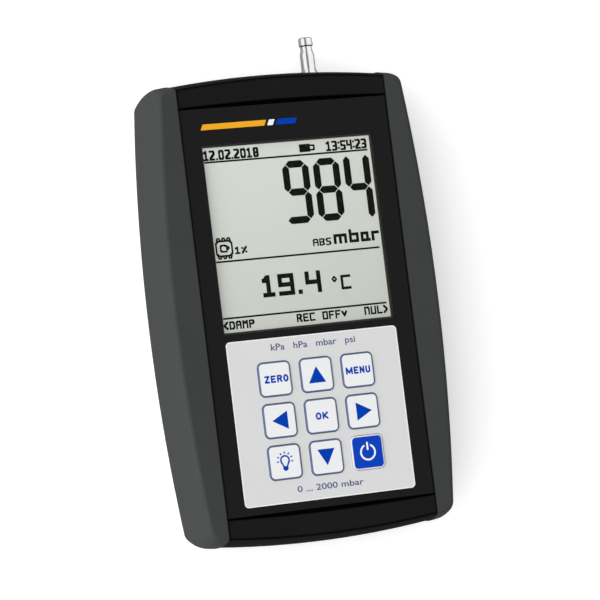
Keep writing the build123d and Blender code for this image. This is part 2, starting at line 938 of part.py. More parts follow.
# Shells
def recess():
    """The panel's recess, whose ends bow outwards and leave a groove beside the panel's seat."""
    half_centre = centre_width / 2
    corner_y = panel_length / 2 + recess_end_gap
    groove_floor = recess_floor - groove_drop
    with BuildSketch(Plane.XY.offset(groove_floor)) as outline:
        with BuildLine():
            ThreePointArc((-half_centre, corner_y), (0, corner_y + recess_bow), (half_centre, corner_y))
            Line((half_centre, corner_y), (half_centre, -corner_y))
            ThreePointArc((half_centre, -corner_y), (0, -corner_y - recess_bow), (-half_centre, -corner_y))
            Line((-half_centre, -corner_y), (-half_centre, corner_y))
        make_face()
    seat = block(2 * centre_width, panel_length, 0, 0, groove_floor, recess_floor)
    return extrude(outline.sketch, amount=groove_drop + overshoot) - seat


def front_shell():
    """Front moulding: recess, openings, board standoffs, screw bosses and side tongues."""
    shell = (housing_form & above_parting) - cavity - recess()
    boss = housing_screw_diameter + 2 * boss_wall
    for x, y in housing_screw_places:
        shell += rod(boss, x, y, parting_height, ceiling)
    for x, y in board_screw_places:
        shell += rod(standoff_diameter, x, y, board_top, ceiling)
    inner_inset = cavity_inset + lip_clearance + lip_thickness
    shell += side_band(
        cavity_inset, inner_inset, lip_length, parting_height, parting_height + lip_reach
    )
    shell += side_band(
        cavity_inset + lip_clearance, inner_inset, lip_length, parting_height - lip_reach, parting_height
    )
    shell -= block(
        bezel_width + 2 * bezel_opening_gap,
        bezel_length + 2 * bezel_opening_gap,
        0,
        view_centre_y,
        ceiling,
        recess_floor,
    )
    shell -= key_openings(ceiling, recess_floor)
    pilot = housing_screw_diameter + 2 * pilot_gap
    shell -= [rod(pilot, x, y, parting_height, housing_screw_top) for x, y in housing_screw_places]
    pilot = board_screw_diameter + 2 * pilot_gap
    shell -= [
        rod(pilot, x, y, board_top, board_top + board_screw_bite) for x, y in board_screw_places
    ]
    return shell - grip_rib_slot


def back_shell():
    """Back moulding: battery compartment, screw columns and the port in its end wall."""
    shell = (housing_form & below_parting) - cavity
    column = housing_head_hole + 2 * column_wall
    for x, y in housing_screw_places:
        shell += rod(column, x, y, wall, parting_height)
    shell += compartment()
    shell -= cover_outline(0, 0, wall)
    shell += port_bar(port_pad_diameter, pad_face, spotface_y)
    shell -= port_bar(spotface_diameter, spotface_y, spotface_y + overshoot)
    shell -= port_bar(thread_diameter + 2 * port_hole_gap, pad_face, spotface_y)
    clearance_hole = housing_screw_diameter + 2 * screw_hole_gap
    for x, y in housing_screw_places:
        shell -= rod(housing_head_hole, x, y, 0, housing_screw_seat)
        shell -= rod(clearance_hole, x, y, housing_screw_seat, parting_height)
    return shell - grip_rib_slot


housing_screw = screw(
    housing_screw_diameter, housing_screw_top - housing_screw_seat - screw_hole_gap
)
board_screw = screw(
    board_screw_diameter, board_thickness + board_screw_bite - screw_hole_gap
)
cover_screw = screw(cover_screw_diameter, cover_screw_length)

# Every node, in the order of assembly
nodes = {
    "back_shell": back_shell(),
    "front_shell": front_shell(),
    "left_grip": grip(left_zone),
    "right_grip": grip(right_zone),
    "front_panel": front_panel(),
    "keypad_sheet": keypad_sheet(),
    "display_window": display_window(),
    "display_bezel": display_bezel(),
    "display_glass": display_glass(),
    "display_backlight": display_backlight(),
    "contact_strips": contact_strips(),
    "main_board": main_board(),
    "processor": processor(),
    "memory_chips": memory_chips(),
    "buzzer": buzzer(),
    "snap_domes": snap_domes(),
    "pressure_sensor": pressure_sensor(),
    "sensor_hose": sensor_hose(),
    "hose_nipple": hose_nipple(),
    "nipple_seal": nipple_seal(),
    "nipple_nut": nipple_nut(),
    "battery_contacts": battery_contacts(),
    "battery_springs": battery_springs(),
    "battery_leads": battery_leads(),
    "battery_cover": battery_cover(),
    "cover_screw": Pos(0, cover_screw_y, cover_screw_seat) * cover_screw,
    "board_screws": [Pos(x, y, board_bottom) * board_screw for x, y in board_screw_places],
    "housing_screws": [Pos(x, y, housing_screw_seat) * housing_screw for x, y in housing_screw_places],
}
for index in range(cell_count):
    nodes[f"battery_cell_{index + 1}"] = battery_cell(index)
for name, (x, y) in key_places.items():
    nodes[f"key_{name}"] = key(x, y)

os.makedirs("parts", exist_ok=True)
for name, solids in nodes.items():
    pieces = solids if isinstance(solids, list) else [solids]
    whole = Compound([solid for piece in pieces for solid in piece.solids()])
    export_step(whole, f"parts/{name}.step")
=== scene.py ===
from math import cos, hypot, pi, radians, sin

import bmesh
import bpy
from mathutils import Matrix, Vector


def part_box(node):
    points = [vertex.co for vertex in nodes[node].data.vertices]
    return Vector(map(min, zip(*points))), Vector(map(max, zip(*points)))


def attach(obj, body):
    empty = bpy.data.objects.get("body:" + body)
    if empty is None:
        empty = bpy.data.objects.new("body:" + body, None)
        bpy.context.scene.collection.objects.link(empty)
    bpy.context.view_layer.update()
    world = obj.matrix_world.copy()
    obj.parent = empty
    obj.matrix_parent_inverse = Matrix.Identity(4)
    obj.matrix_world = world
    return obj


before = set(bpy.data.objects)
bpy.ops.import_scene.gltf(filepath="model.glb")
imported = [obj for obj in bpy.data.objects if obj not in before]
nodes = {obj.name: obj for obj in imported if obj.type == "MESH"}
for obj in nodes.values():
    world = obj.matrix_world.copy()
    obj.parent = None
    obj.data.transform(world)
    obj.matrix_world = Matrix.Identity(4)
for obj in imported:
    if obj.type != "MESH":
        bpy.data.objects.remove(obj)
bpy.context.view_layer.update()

# Camera and studio
# The gauge lies on its back on a pale table. The camera looks down on the display from the left,
# with a soft box above and a pale wall on the left. Metal sees a white surround, with a dark strip
# over the lens and a dark near end.
millimetre = 0.001
view_turn = radians(20.5)
view_pitch = radians(-3.293)
view_roll = radians(6.973)
view_shift = (-2.729, 2.656)
view_distance = 971.18
focal_length = 175.515
aim_y = -1.5
panel_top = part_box("front_panel")[1].z
turned_about = Matrix.Rotation(view_roll, 3, "Z") @ Matrix.Rotation(view_pitch, 3, "X")
towards_lens = (turned_about @ Matrix.Rotation(view_turn, 3, "Y")).transposed()


def add_object(name, data):
    """Puts data into the scene as an object."""
    made = bpy.data.objects.new(name, data)
    bpy.context.scene.collection.objects.link(made)
    return made


camera = add_object("camera", bpy.data.cameras.new("camera"))
camera.data.lens = focal_length
camera.data.clip_start = 0.05
camera.data.clip_end = 20.0
camera.matrix_world = towards_lens.to_4x4()
camera.location = towards_lens @ Vector((*view_shift, view_distance)) * millimetre
camera.location += Vector((0, aim_y * millimetre, panel_top))
bpy.context.scene.camera = camera
bpy.context.scene.view_settings.view_transform = "Standard"


soft_box = add_object("soft_box", bpy.data.lights.new("soft_box", "AREA"))
soft_box.data.size = 0.7
soft_box.data.energy = 3.4
soft_box.location = (-0.35, -0.1, 1.2)
soft_box.rotation_mode = "QUATERNION"
soft_box.rotation_quaternion = (-soft_box.location).to_track_quat("-Z", "Y")
soft_box.visible_glossy = False


def add_node(tree, kind, inputs, **settings):
    """A shader node with its settings; inputs hold a value or a link for a socket's name or number."""
    made = tree.nodes.new("ShaderNode" + kind)
    for name, value in settings.items():
        setattr(made, name, value)
    for name, value in inputs.items():
        if isinstance(value, bpy.types.NodeSocket):
            tree.links.new(value, made.inputs[name])
        else:
            made.inputs[name].default_value = value
    return made


def calculate(tree, operation, *values):
    """The result of a sum, a product or the like."""
    return add_node(tree, "Math", dict(enumerate(values)), operation=operation).outputs["Value"]


def ramp(tree, value, low, high, result_low, result_high):
    """A value carried from one range to another and held at its ends."""
    inputs = {"Value": value, "From Min": low, "From Max": high, "To Min": result_low, "To Max": result_high}
    return add_node(tree, "MapRange", inputs).outputs["Result"]


def blend(tree, share, first, second):
    """A colour between two colours."""
    return add_node(tree, "MixRGB", {"Fac": share, "Color1": first, "Color2": second}).outputs["Color"]


def grey(level):
    """A neutral colour."""
    return (level, level, level, 1.0)


wall_light_left = 4.15
wall_light_right = 0.25
world = bpy.data.worlds.new("studio")
bpy.context.scene.world = world
world.use_nodes = True
sky = world.node_tree
sky.nodes.clear()
rays = add_node(sky, "LightPath", {}).outputs
direction = add_node(sky, "TexCoord", {}).outputs["Generated"]
axes = add_node(sky, "SeparateXYZ", {"Vector": direction}).outputs
lens_axis = towards_lens @ Vector((0, 0, 1))
strip_axis = Vector((lens_axis.x, 0, lens_axis.z)).normalized()
level = add_node(sky, "VectorMath", {0: direction, 1: (1.0, 0.0, 1.0)}, operation="MULTIPLY").outputs["Vector"]
level = add_node(sky, "VectorMath", {0: level}, operation="NORMALIZE").outputs["Vector"]
facing = add_node(sky, "VectorMath", {0: level, 1: strip_axis}, operation="DOT_PRODUCT").outputs["Value"]
beside_strip = ramp(sky, facing, cos(radians(9)), cos(radians(22)), 0.2, 1.0)
beside_end = ramp(sky, axes["Y"], -0.85, -0.5, 0.02, 1.0)
reflected = calculate(sky, "MULTIPLY", beside_strip, beside_end)
fill = ramp(sky, axes["X"], -1.0, -0.2, wall_light_left, wall_light_right)
unseen = blend(sky, rays["Is Glossy Ray"], fill, reflected)
direct = calculate(sky, "MAXIMUM", rays["Is Camera Ray"], rays["Is Transmission Ray"])
surround = add_node(sky, "Background", {"Color": blend(sky, direct, unseen, grey(1.0))})
add_node(sky, "OutputWorld", {"Surface": surround.outputs["Background"]})

table_reach = 2.0
table_mesh = bpy.data.meshes.new("table")
corners = [(x * table_reach, y * table_reach, 0) for x, y in ((-1, -1), (1, -1), (1, 1), (-1, 1))]
table_mesh.from_pydata(corners, [], [(0, 1, 2, 3)])
table_paint = bpy.data.materials.new("table")
table_paint.use_nodes = True
table_tree = table_paint.node_tree
table_rays = add_node(table_tree, "LightPath", {}).outputs
table_shader = table_tree.nodes["Principled BSDF"].inputs
table_shader["Roughness"].default_value = 0.9
table_shader["Specular IOR Level"].default_value = 0.0
table_shader["Emission Color"].default_value = grey(1.0)
table_tone = blend(table_tree, table_rays["Is Glossy Ray"], grey(0.93), grey(0.4))
table_glow = calculate(table_tree, "MULTIPLY", table_rays["Is Camera Ray"], 0.38)
table_tree.links.new(table_tone, table_shader["Base Color"])
table_tree.links.new(table_glow, table_shader["Emission Strength"])
table_mesh.materials.append(table_paint)
add_object("table", table_mesh)


# Shells and battery cover
# Two black mouldings and the lid of the cell compartment, all in hard plastic with a fine
# spark-eroded grain from the mould. The shells meet at the parting line and are screwed together.
def new_group(name, inputs, outputs):
    """An empty node group with its sockets, and the sockets inside it."""
    group = bpy.data.node_groups.new(name, "ShaderNodeTree")
    for side, sockets in (("INPUT", inputs), ("OUTPUT", outputs)):
        for socket_name, kind in sockets.items():
            group.interface.new_socket(socket_name, in_out=side, socket_type="NodeSocket" + kind)
    return group, group.nodes.new("NodeGroupInput").outputs, group.nodes.new("NodeGroupOutput").inputs


def surface_group():
    """Grain of a moulded or coated surface: varied colour and roughness, and a height for bump."""
    group, given, result = new_group(
        "moulded_surface",
        {"Color": "Color", "Variation": "Float", "Grain Size": "Float", "Roughness": "Float"},
        {"Color": "Color", "Roughness": "Float", "Height": "Float"},
    )
    place = add_node(group, "TexCoord", {}).outputs["Object"]
    patches = add_node(group, "TexNoise", {"Vector": place, "Scale": 90.0, "Detail": 3.0}).outputs["Fac"]
    scale = calculate(group, "DIVIDE", 1.0, given["Grain Size"])
    grain = add_node(group, "TexNoise", {"Vector": place, "Scale": scale, "Detail": 2.0}).outputs["Fac"]
    centred = calculate(group, "SUBTRACT", calculate(group, "ADD", patches, grain), 1.0)
    spread = calculate(group, "MULTIPLY_ADD", centred, given["Variation"], 1.0)
    shaded = add_node(group, "VectorMath", {0: given["Color"], "Scale": spread}, operation="SCALE")
    rough = calculate(group, "MULTIPLY", given["Roughness"], spread)
    group.links.new(shaded.outputs["Vector"], result["Color"])
    group.links.new(rough, result["Roughness"])
    group.links.new(grain, result["Height"])
    return group


moulded_surface = surface_group()


def new_material(name, specular, metallic=0.0):
    """An empty node material with its shader's plain values set."""
    material = bpy.data.materials.new(name)
    material.use_nodes = True
    shader = material.node_tree.nodes["Principled BSDF"].inputs
    shader["Specular IOR Level"].default_value = specular
    shader["Metallic"].default_value = metallic
    return material, material.node_tree, shader


def bump(tree, height, depth):
    """A normal from a height."""
    return add_node(tree, "Bump", {"Height": height, "Distance": depth}).outputs["Normal"]


def finish_surface(tree, shader, colour, roughness, variation, grain_size, depth):
    """Joins the grain to a shader; the colour may be a value or a link."""
    inputs = {"Color": colour, "Variation": variation, "Grain Size": grain_size, "Roughness": roughness}
    grain = add_node(tree, "Group", {}, node_tree=moulded_surface)
    for name, value in inputs.items():
        if isinstance(value, bpy.types.NodeSocket):
            tree.links.new(value, grain.inputs[name])
        else:
            grain.inputs[name].default_value = value
    tree.links.new(grain.outputs["Color"], shader["Base Color"])
    tree.links.new(grain.outputs["Roughness"], shader["Roughness"])
    tree.links.new(bump(tree, grain.outputs["Height"], depth), shader["Normal"])


def moulding(name, colour, roughness, specular=0.3, variation=0.1, grain_size=0.0003, depth=0.00001, metallic=0.0):
    """A plain coloured moulding, coating or plating with its grain."""
    material, tree, shader = new_material(name, specular, metallic)
    finish_surface(tree, shader, (*colour, 1.0), roughness, variation, grain_size, depth)
    return material


def dress(material, *names):
    """Gives CAD nodes a material."""
    for name in names:
        nodes[name].data.materials.clear()
        nodes[name].data.materials.append(material)


def place_axes(tree, output="Object"):
    """The three parts of a place on the gauge, or of the surface's direction there."""
    vector = add_node(tree, "TexCoord", {}).outputs[output]
    return add_node(tree, "SeparateXYZ", {"Vector": vector}).outputs


def joint_shade_mask(tree, x, half_width):
    """A mask of painted shade for the gap along both long sides of a strip."""
    aside = calculate(tree, "SUBTRACT", calculate(tree, "ABSOLUTE", x), half_width)
    return ramp(tree, aside, -0.45 * millimetre, -0.15 * millimetre, 0.0, 1.0)


# Painted shade, near black, fills the groove that the bowed recess leaves beyond each end of the panel and the joint
# beside its long sides. The rounded edges are painted darker as shade.
housing_black, housing_tree, housing_shader = new_material("housing_black", 0.01)
housing_place = place_axes(housing_tree)
panel_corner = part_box("front_panel")[1]
joint_x = panel_corner.x + 0.1 * millimetre
groove_width_at_side = 0.5 * millimetre
groove_bow = 0.9 * millimetre
groove_lip = 0.5 * millimetre
groove_depth = 2.5 * millimetre
bow_share = calculate(housing_tree, "POWER", calculate(housing_tree, "DIVIDE", housing_place["X"], joint_x), 2.0)
groove_end = calculate(
    housing_tree, "MULTIPLY_ADD", bow_share, -groove_bow, panel_corner.y + groove_width_at_side + groove_bow
)
along = calculate(housing_tree, "ABSOLUTE", housing_place["Y"])
past_groove = calculate(housing_tree, "SUBTRACT", along, groove_end)
beyond_panel = calculate(housing_tree, "GREATER_THAN", along, panel_corner.y)
near_panel = calculate(housing_tree, "GREATER_THAN", housing_place["Z"], panel_top - groove_depth)
# Painted shade: the groove beyond each end of the panel and the joint beside each long side are made near black
groove_shade = ramp(housing_tree, past_groove, 0.0, groove_lip, 1.0, 0.0)
groove_shade = calculate(housing_tree, "MULTIPLY", groove_shade, beyond_panel)
joint_shade = joint_shade_mask(housing_tree, housing_place["X"], joint_x)
painted_shade = calculate(housing_tree, "MULTIPLY", calculate(housing_tree, "MAXIMUM", groove_shade, joint_shade), near_panel)
# Painted shade darkens the rounded edges, where the surface turns between facing up and facing sideways
upright = calculate(housing_tree, "ABSOLUTE", place_axes(housing_tree, "Normal")["Z"])
fillet_shade = calculate(
    housing_tree, "MULTIPLY", ramp(housing_tree, upright, 0.4, 0.55, 0.0, 1.0),
    ramp(housing_tree, upright, 0.93, 0.99, 1.0, 0.0),
)
housing_tone = blend(housing_tree, fillet_shade, (0.0099, 0.0101, 0.01, 1.0), grey(0.003))
housing_tone = blend(housing_tree, painted_shade, housing_tone, grey(0.001))
finish_surface(housing_tree, housing_shader, housing_tone, 0.52, 0.25, 0.00022, 0.000012)
dress(housing_black, "back_shell", "front_shell", "battery_cover")

# Cells and their contacts
# Four round cells in a printed jacket lie side by side. Nickel-plated spring steel plates and
# bowed strips join them, and two insulated leads go up to the board.
jacket_blue = moulding("jacket_blue", (0.05, 0.09, 0.16), 0.35, 0.5, 0.1, 0.002, 0.000004)
nickel_plate = moulding("nickel_plate", (0.68, 0.67, 0.63), 0.28, 0.5, 0.06, 0.0004, 0.000004, 1.0)
lead_red = moulding("lead_red", (0.5, 0.03, 0.02), 0.45, 0.4, 0.08, 0.0006, 0.000008)
dress(jacket_blue, *(f"battery_cell_{index}" for index in range(1, 5)))
dress(nickel_plate, "battery_contacts", "battery_springs", "snap_domes")
dress(lead_red, "battery_leads")

# Main board
# Glass-fibre board under a green solder resist, with black chips, the sounder and the snap domes
# soldered or placed on it. Six screws hold it on the front shell's standoffs.
board_green = moulding("board_green", (0.02, 0.12, 0.05), 0.4, 0.4, 0.3, 0.0012, 0.00001)
chip_black = moulding("chip_black", (0.015, 0.015, 0.016), 0.5, 0.3, 0.3, 0.0002, 0.000008)
dress(board_green, "main_board")
dress(chip_black, "processor", "memory_chips", "buzzer")

# Pressure sensor and inner hose
# The sensor is a grey moulding with a side port. A milky silicone hose joins it to the nipple.
sensor_grey = moulding("sensor_grey", (0.2, 0.2, 0.2), 0.45, 0.4, 0.12, 0.0003, 0.00001)
silicone = moulding("silicone", (0.75, 0.74, 0.7), 0.5, 0.3, 0.08, 0.0008, 0.000006)
dress(sensor_grey, "pressure_sensor")
dress(silicone, "sensor_hose")

# Hose nipple
# Turned from brass bar and plated bright. Fine turning marks run round it; a rubber ring seals its
# hexagon on the end wall, and a plated nut holds it inside.
port_low, port_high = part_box("hose_nipple")
head_length = 3.0 * millimetre
corner_half = 0.2 * millimetre


def plated_turning():
    """Bright plating over fine rings that the lathe tool left; a dark band in the corner by the head is painted
    shade.
    """
    material, tree, shader = new_material("plated_turning", 0.5, 1.0)
    place = add_node(tree, "TexCoord", {}).outputs["Object"]
    ring_inputs = {"Vector": place, "Scale": 1600.0, "Distortion": 1.5, "Detail": 2.0}
    rings = add_node(tree, "TexWave", ring_inputs, bands_direction="Y").outputs["Fac"]
    mist = add_node(tree, "TexNoise", {"Vector": place, "Scale": 700.0}).outputs["Fac"]
    tone = blend(tree, mist, (0.84, 0.835, 0.82, 1.0), (0.94, 0.94, 0.93, 1.0))
    # Painted shade darkens the corner under the head
    head_corner_shade = calculate(tree, "COMPARE", place_axes(tree)["Y"], port_high.y - head_length, corner_half)
    tone = blend(tree, head_corner_shade, tone, grey(0.08))
    tree.links.new(tone, shader["Base Color"])
    tree.links.new(ramp(tree, mist, 0.0, 1.0, 0.1, 0.2), shader["Roughness"])
    tree.links.new(bump(tree, rings, 0.000002), shader["Normal"])
    return material


dress(plated_turning(), "hose_nipple")
dress(moulding("nut_plate", (0.6, 0.6, 0.6), 0.3, 0.5, 0.1, 0.0004, 0.000006, 1.0), "nipple_nut")
dress(moulding("seal_rubber", (0.02, 0.02, 0.02), 0.6, 0.3, 0.2, 0.0004, 0.00001), "nipple_seal")

# Display module
# A grey-green liquid crystal cell over a white light guide, held by a black folded frame, with two conductive rubber
# strips. It shows a reading, the time and a menu line. Its faint glow, as from the light guide, is painted light that
# also evens out the shade the window's wall casts on it.
glass_low, glass_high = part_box("display_glass")
view_x = (glass_low.x + glass_high.x) / 2
view_y = (glass_low.y + glass_high.y) / 2
ink_thickness = 0.00002
dot = 0.1 * millimetre

display_grey, display_tree, display_shader = new_material("display_grey", 0.2)
display_place = add_node(display_tree, "TexCoord", {}).outputs["Object"]
fade_axis = Vector((0.5, -0.86, 0))
fade_middle = fade_axis.dot(Vector((view_x, view_y, 0)))
fade_reach = 0.042
across = add_node(display_tree, "VectorMath", {0: display_place, 1: fade_axis}, operation="DOT_PRODUCT")
fade = ramp(display_tree, across.outputs["Value"], fade_middle - fade_reach, fade_middle + fade_reach, 0.0, 1.0)
display_tone = blend(display_tree, fade, (0.54, 0.562, 0.52, 1.0), (0.43, 0.445, 0.409, 1.0))
finish_surface(display_tree, display_shader, display_tone, 0.35, 0.03, 0.0005, 0.000001)
# Painted light: the cell glows in its own tone, which evens out the shade from the window's wall
display_tree.links.new(display_tone, display_shader["Emission Color"])
display_shader["Emission Strength"].default_value = 0.45
dress(display_grey, "display_glass")
dress(moulding("light_guide", (0.8, 0.82, 0.82), 0.4, 0.4, 0.03, 0.001, 0.000004), "display_backlight")
dress(moulding("strip_rubber", (0.25, 0.12, 0.16), 0.6, 0.3, 0.2, 0.0003, 0.00001), "contact_strips")
dress(moulding("frame_black", (0.03, 0.031, 0.028), 0.45, 0.3, 0.15, 0.0003, 0.000006), "display_bezel")

display_ink = moulding("display_ink", (0.0065, 0.008, 0.0058), 0.5, 0.02, 0.12, 0.0004, 0.000001)

# Strokes of each figure and letter on a grid four steps wide and six steps high
figures = {
    "0": [[(1, 0), (3, 0), (4, 1), (4, 5), (3, 6), (1, 6), (0, 5), (0, 1), (1, 0)]],
    "1": [[(0.4, 5), (1, 5), (2, 6), (2, 0)], [(0.4, 0), (3.6, 0)]],
    "2": [[(0, 6), (3, 6), (4, 5), (4, 4), (0, 1), (0, 0), (4, 0)]],
    "3": [[(0, 6), (3, 6), (4, 5), (4, 4), (3, 3), (1, 3)], [(3, 3), (4, 2), (4, 1), (3, 0), (0, 0)]],
    "4": [[(0, 6), (0, 3), (4, 3)], [(4, 6), (4, 0)]],
    "5": [[(4, 6), (0, 6), (0, 3), (3, 3), (4, 2), (4, 1), (3, 0), (0, 0)]],
    "8": [[(1, 3), (0, 4), (0, 5), (1, 6), (3, 6), (4, 5), (4, 4), (3, 3), (1, 3), (0, 2), (0, 1), (1, 0),
           (3, 0), (4, 1), (4, 2), (3, 3)]],
    "9": [[(4, 3), (0, 3), (0, 6), (4, 6), (4, 0), (0, 0)]],
    ".": [[(0, 0), (0, 0)]],
    ":": [[(0, 1), (0, 1)], [(0, 5), (0, 5)]],
    "%": [[(0, 5), (0.6, 5)], [(0, 0), (4, 6)], [(3.4, 1), (4, 1)]],
    "<": [[(4, 6), (1, 3), (4, 0)]],
    ">": [[(0, 6), (3, 3), (0, 0)]],
    "v": [[(0, 5), (2, 1), (4, 5)]],
    "A": [[(0, 0), (0, 5), (1, 6), (3, 6), (4, 5), (4, 0)], [(0, 3), (4, 3)]],
    "B": [[(0, 0), (0, 6), (3, 6), (4, 5), (3, 3), (0, 3)], [(3, 3), (4, 1), (3, 0), (0, 0)]],
    "C": [[(4, 6), (0, 6), (0, 0), (4, 0)]],
    "E": [[(4, 6), (0, 6), (0, 0), (4, 0)], [(0, 3), (3, 3)]],
    "F": [[(4, 6), (0, 6), (0, 0)], [(0, 3), (3, 3)]],
    "D": [[(0, 0), (0, 6), (3, 6), (4, 5), (4, 1), (3, 0), (0, 0)]],
    "L": [[(0, 6), (0, 0), (4, 0)]],
    "M": [[(0, 0), (0, 6), (2, 4), (4, 6), (4, 0)]],
    "P": [[(0, 0), (0, 6), (3, 6), (4, 5), (4, 4), (3, 3), (0, 3)]],
    "N": [[(0, 0), (0, 6), (3, 6), (4, 5), (4, 0)]],
    "O": [[(0, 0), (0, 6), (4, 6), (4, 0), (0, 0)]],
    "R": [[(0, 0), (0, 6), (3, 6), (4, 5), (3, 3), (0, 3)], [(2, 3), (4, 0)]],
    "S": [[(4, 6), (1, 6), (0, 5), (1, 3), (3, 3), (4, 1), (3, 0), (0, 0)]],
    "U": [[(0, 6), (0, 0), (4, 0), (4, 6)]],
    "a": [[(0, 4), (3, 4), (3, 0)], [(0, 4), (0, 0), (4, 0)]],
    "b": [[(0, 6), (0, 0), (4, 0), (4, 4), (0, 4)]],
    "m": [[(0, 0), (0, 4), (4, 4), (4, 0)], [(2, 4), (2, 0)]],
    "r": [[(0, 0), (0, 4), (4, 4)]],
    "o": [[(0, 1), (1, 2), (2, 1), (1, 0), (0, 1)]],
}


def square_nib(breadth):
    """The dots under a square pen."""
    return [(i, j) for i in range(breadth) for j in range(breadth)]


def round_nib(breadth):
    """The dots under a round pen."""
    middle = (breadth - 1) / 2
    return [(i, j) for i, j in square_nib(breadth) if hypot(i - middle, j - middle) <= breadth / 2]


def draw(dots, strokes, x, y, width, height, pen, size=dot, nib=square_nib):
    """Draws strokes, given on the grid, in a box with its lower left corner at a place."""
    left, low, across, up, breadth = (round(length * millimetre / size) for length in (x, y, width, height, pen))
    under_pen = nib(breadth)
    for stroke in strokes:
        places = [(left + i * (across - breadth) / 4, low + j * (up - breadth) / 6) for i, j in stroke]
        for start, end in zip(places, places[1:]):
            steps = max(round(abs(end[0] - start[0])), round(abs(end[1] - start[1])), 1)
            for step in range(steps + 1):
                pen_x, pen_y = (round(a + (b - a) * step / steps) for a, b in zip(start, end))
                dots.update((pen_x + i, pen_y + j) for i, j in under_pen)


def write(dots, words, x, y, width, height, pen, gap, size=dot, nib=square_nib):
    """Writes words in millimetres from a lower left place."""
    for figure in words:
        if figure != " ":
            draw(dots, figures[figure], x, y, width, height, pen, size, nib)
        x += (pen if figure in ".:" else width) + gap


def link_piece(name, mesh, material, body):
    """Adds a mesh as a piece of the gauge that rides on a body."""
    piece = add_object(name, mesh)
    mesh.materials.append(material)
    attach(piece, body)
    return piece


def thicken(sheet, low, thickness):
    """Turns flat faces into closed plates that stand on a level."""
    bmesh.ops.recalc_face_normals(sheet, faces=sheet.faces)
    for face in sheet.faces:
        if face.normal.z < 0:
            face.normal_flip()
    bmesh.ops.solidify(sheet, geom=sheet.faces, thickness=thickness)
    lowest = min(vertex.co.z for vertex in sheet.verts)
    bmesh.ops.translate(sheet, verts=sheet.verts, vec=(0, 0, low - lowest))
    bmesh.ops.recalc_face_normals(sheet, faces=sheet.faces)


def dots_mesh(name, dots, size, x, y, low, thickness):
    """A mesh of black dots round a place, joined into plates with clean outlines."""
    sheet = bmesh.new()
    corners = {}

    def corner(i, j):
        if (i, j) not in corners:
            corners[i, j] = sheet.verts.new((x + i * size, y + j * size, 0))
        return corners[i, j]

    for i, j in sorted(dots):
        sheet.faces.new([corner(i, j), corner(i + 1, j), corner(i + 1, j + 1), corner(i, j + 1)])
    bmesh.ops.dissolve_limit(sheet, angle_limit=radians(1), verts=sheet.verts, edges=sheet.edges)
    thicken(sheet, low, thickness)
    mesh = bpy.data.meshes.new(name)
    sheet.to_mesh(mesh)
    sheet.free()
    return mesh


def show(name, dots):
    """One group of black dots on the display."""
    mesh = dots_mesh(name, dots, dot, view_x, view_y, glass_high.z, ink_thickness)
    return link_piece(name, mesh, display_ink, "housing")


def rule(dots, y):
    """A thin line across the display."""
    draw(dots, [[(0, 0), (4, 0)]], -29.5, y, 58.3, rule_width, rule_width)


rule_width = 0.55
header = set()
write(header, "12.02.2018", -29.7, 26.5, 2.0, 3.4, 0.7, 0.24)
write(header, "13:54:23", 13.9, 26.5, 2.0, 3.4, 0.7, 0.2)
rule(header, 25.7)
show("display_header", header)

battery_sign = set()
battery_height = 2.7
draw(battery_sign, [[(0, 0), (4, 0)]], 4.4, 26.9, 3.9, battery_height, battery_height)
draw(battery_sign, [[(0, 0), (3, 0), (4, 1), (4, 5), (3, 6), (0, 6)]], 8.1, 27.2, 1.9, 2.1, 0.6)
show("display_battery", battery_sign)

memory_sign = set()
chip_outline = [(0.6, 0), (3.4, 0), (4, 0.9), (4, 5.1), (3.4, 6), (0.6, 6), (0, 5.1), (0, 0.9), (0.6, 0)]
pin_loops = ((-0.5, [(0, 0), (1, 6), (3, 6), (4, 0)]), (-6.4, [(0, 6), (1, 0), (3, 0), (4, 6)]))
draw(memory_sign, [chip_outline], -29.2, -5.6, 6.1, 5.5, 0.6)
for y, loop in pin_loops:
    for x in (-28.8, -27.0, -25.2):
        draw(memory_sign, [loop], x, y, 1.7, 1.3, 0.5)
draw(memory_sign, [[(4, 5), (3, 6), (1, 6), (0, 5), (0, 1), (1, 0), (4, 0)]], -27.7, -4.2, 2.6, 2.7, 0.6)
draw(memory_sign, [[(0, 0), (0, 6), (4, 3), (0, 0)], [(0, 3), (4, 3)]], -25.5, -3.7, 1.3, 1.9, 0.5)
write(memory_sign, "1%", -22.6, -5.1, 2.0, 2.5, 0.6, 0.4)
show("display_memory", memory_sign)

unit_words = set()
write(unit_words, "ABS", 5.2, -4.9, 2.0, 2.5, 0.5, 0.3)
write(unit_words, "m", 12.7, -4.8, 4.8, 4.5, 1.0, 0.0)
write(unit_words, "ba", 18.3, -4.8, 3.5, 4.5, 1.0, 0.7)
write(unit_words, "r", 26.4, -4.8, 2.8, 4.5, 1.0, 0.0)
rule(unit_words, -7.5)
show("display_units", unit_words)

second_reading = set()
write(second_reading, "1", -14.9, -20.3, 5.1, 7.3, 1.5, 0.0)
write(second_reading, "9.", -8.9, -20.3, 5.7, 7.3, 1.5, 1.2)
write(second_reading, "4", 0.8, -20.3, 5.6, 7.3, 1.5, 0.0)
write(second_reading, "o", 10.2, -17.5, 3.4, 5.4, 0.5, 0.0)
write(second_reading, "C", 13.4, -20.2, 3.6, 4.9, 0.9, 0.0)
rule(second_reading, -26.3)
show("display_temperature", second_reading)

menu_line = set()
write(menu_line, "<DAMP", -29.9, -29.8, 2.0, 2.8, 0.6, 0.3)
write(menu_line, "REC OFFv", -3.8, -29.6, 2.0, 2.8, 0.6, 0.3)
write(menu_line, "NUL>", 20.5, -29.5, 2.0, 2.8, 0.6, 0.3)
show("display_menu", menu_line)


def plates_mesh(name, outlines, low, thickness):
    """A mesh of closed flat plates with the given outlines, in metres."""
    sheet = bmesh.new()
    for outline in outlines:
        sheet.faces.new([sheet.verts.new((x, y, 0)) for x, y in outline])
    thicken(sheet, low, thickness)
    mesh = bpy.data.meshes.new(name)
    sheet.to_mesh(mesh)
    sheet.free()
    return mesh


